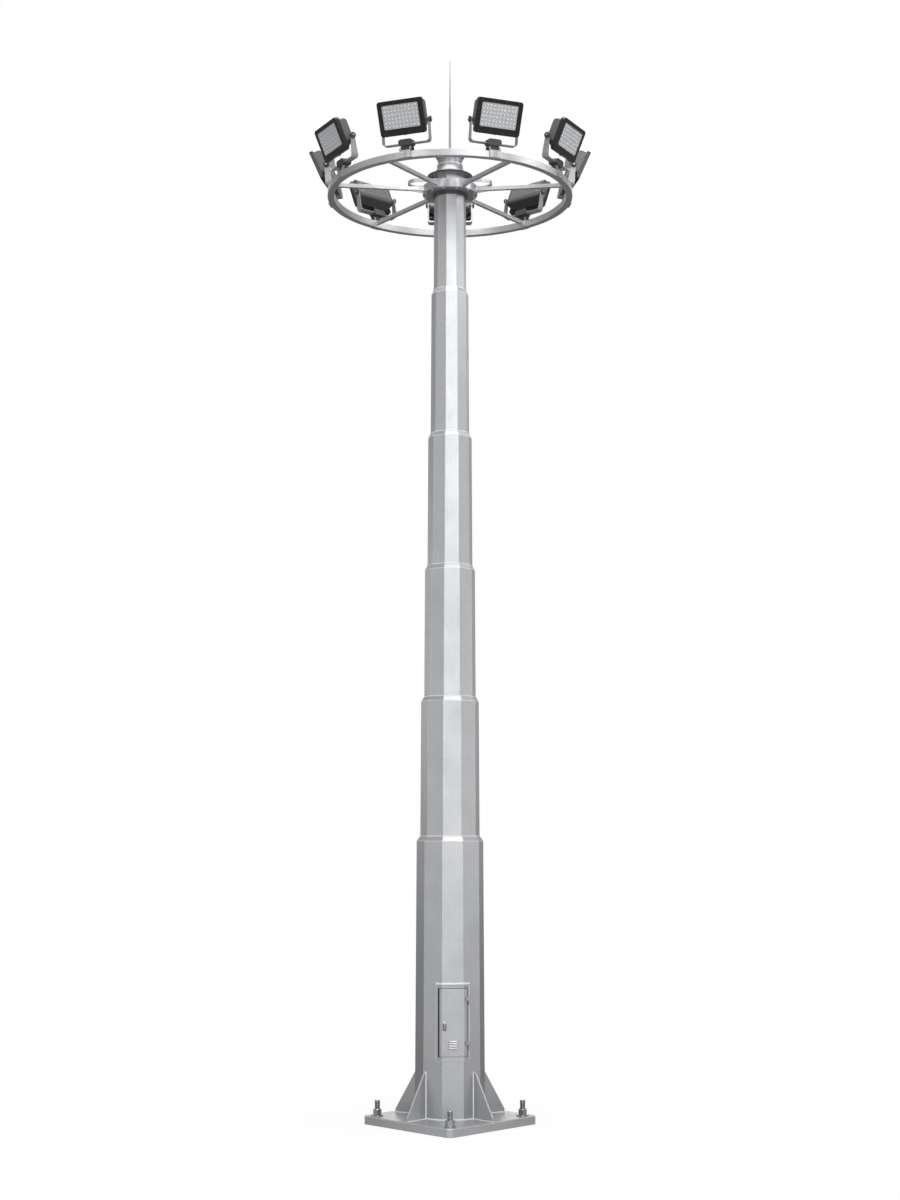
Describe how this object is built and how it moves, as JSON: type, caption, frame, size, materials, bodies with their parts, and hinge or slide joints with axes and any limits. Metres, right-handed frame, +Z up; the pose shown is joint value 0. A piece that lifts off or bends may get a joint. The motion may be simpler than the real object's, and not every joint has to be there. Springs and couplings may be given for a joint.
{
  "type": "high mast floodlight tower",
  "caption": "Stepped ten-sided galvanised mast with a base door and a ring of tilting floodlights under a lightning rod.",
  "frame": {"origin": "centre of the base plate's underside, on the foundation", "axes": "+Z up along the shaft; -Y is the front, towards which the access door looks; +X to the right seen from the front"},
  "size_m": [3.4998, 3.4486, 12.901],
  "materials": {
    "galvanised_steel": "hot-dip galvanised, matt",
    "anchor_steel": "galvanised, threaded",
    "dark_steel": "dark coated",
    "bright_steel": "satin",
    "dark_casting": "powder coated, dark grey",
    "lamp_black": "powder coated, near black",
    "lamp_glass": "clear cover over white emitters"
  },
  "bodies": {
    "mast": {"base_plate": "galvanised_steel", "base_gussets": "galvanised_steel", "anchor_studs": "anchor_steel", "anchor_nuts": "anchor_steel", "anchor_washers": "anchor_steel", "shaft_section_1": "galvanised_steel", "shaft_section_2": "galvanised_steel", "shaft_section_3": "galvanised_steel", "shaft_section_4": "galvanised_steel", "shaft_section_5": "galvanised_steel", "shaft_section_6": "galvanised_steel", "door_surround": "galvanised_steel", "door_hinge_pins": "galvanised_steel", "shaft_collar": "dark_steel", "hub_drum": "galvanised_steel", "spokes": "galvanised_steel", "ring_segment_1": "galvanised_steel", "ring_segment_2": "galvanised_steel", "ring_segment_3": "galvanised_steel", "guide_hoops": "galvanised_steel", "head_skirt": "galvanised_steel", "skirt_seat": "galvanised_steel", "head_neck": "galvanised_steel", "rod_base": "galvanised_steel", "lightning_rod": "galvanised_steel", "lamp_brackets": "galvanised_steel", "lamp_knuckles": "dark_casting", "lamp_yokes": "galvanised_steel", "pivot_knobs": "dark_casting"},
    "access_door": {"access_door": "galvanised_steel", "door_vent": "galvanised_steel", "door_handle": "bright_steel", "door_hinge_knuckles": "galvanised_steel"},
    "lamp_1": {"lamp_1_housing": "lamp_black", "lamp_1_panel": "lamp_glass"},
    "lamp_2": {"lamp_2_housing": "lamp_black", "lamp_2_panel": "lamp_glass"},
    "lamp_3": {"lamp_3_housing": "lamp_black", "lamp_3_panel": "lamp_glass"},
    "lamp_4": {"lamp_4_housing": "lamp_black", "lamp_4_panel": "lamp_glass"},
    "lamp_5": {"lamp_5_housing": "lamp_black", "lamp_5_panel": "lamp_glass"},
    "lamp_6": {"lamp_6_housing": "lamp_black", "lamp_6_panel": "lamp_glass"},
    "lamp_7": {"lamp_7_housing": "lamp_black", "lamp_7_panel": "lamp_glass"},
    "lamp_8": {"lamp_8_housing": "lamp_black", "lamp_8_panel": "lamp_glass"},
    "lamp_9": {"lamp_9_housing": "lamp_black", "lamp_9_panel": "lamp_glass"}
  },
  "joints": [
    {"name": "door_hinge", "type": "hinge", "parent": "mast", "child": "access_door", "pos_m": [0.2196, -0.35485, 0.808], "axis": [0, 0, 1], "range_deg": [0, 110]},
    {"name": "lamp_tilt_1", "type": "hinge", "parent": "mast", "child": "lamp_1", "pos_m": [0.5129, -1.40919, 11.54551], "axis": [0.9397, 0.342, 0], "range_deg": [-30, 45]},
    {"name": "lamp_tilt_2", "type": "hinge", "parent": "mast", "child": "lamp_2", "pos_m": [1.29872, -0.74981, 11.54551], "axis": [0.5, 0.866, 0], "range_deg": [-30, 45]},
    {"name": "lamp_tilt_3", "type": "hinge", "parent": "mast", "child": "lamp_3", "pos_m": [1.47685, 0.26041, 11.54551], "axis": [-0.1736, 0.9848, 0], "range_deg": [-30, 45]},
    {"name": "lamp_tilt_4", "type": "hinge", "parent": "mast", "child": "lamp_4", "pos_m": [0.96394, 1.14878, 11.54551], "axis": [-0.766, 0.6428, 0], "range_deg": [-30, 45]},
    {"name": "lamp_tilt_5", "type": "hinge", "parent": "mast", "child": "lamp_5", "pos_m": [0, 1.49963, 11.54551], "axis": [-1, 0, 0], "range_deg": [-30, 45]},
    {"name": "lamp_tilt_6", "type": "hinge", "parent": "mast", "child": "lamp_6", "pos_m": [-0.96394, 1.14878, 11.54551], "axis": [-0.766, -0.6428, 0], "range_deg": [-30, 45]},
    {"name": "lamp_tilt_7", "type": "hinge", "parent": "mast", "child": "lamp_7", "pos_m": [-1.47685, 0.26041, 11.54551], "axis": [-0.1736, -0.9848, 0], "range_deg": [-30, 45]},
    {"name": "lamp_tilt_8", "type": "hinge", "parent": "mast", "child": "lamp_8", "pos_m": [-1.29872, -0.74981, 11.54551], "axis": [0.5, -0.866, 0], "range_deg": [-30, 45]},
    {"name": "lamp_tilt_9", "type": "hinge", "parent": "mast", "child": "lamp_9", "pos_m": [-0.5129, -1.40919, 11.54551], "axis": [0.9397, -0.342, 0], "range_deg": [-30, 45]}
  ]
}
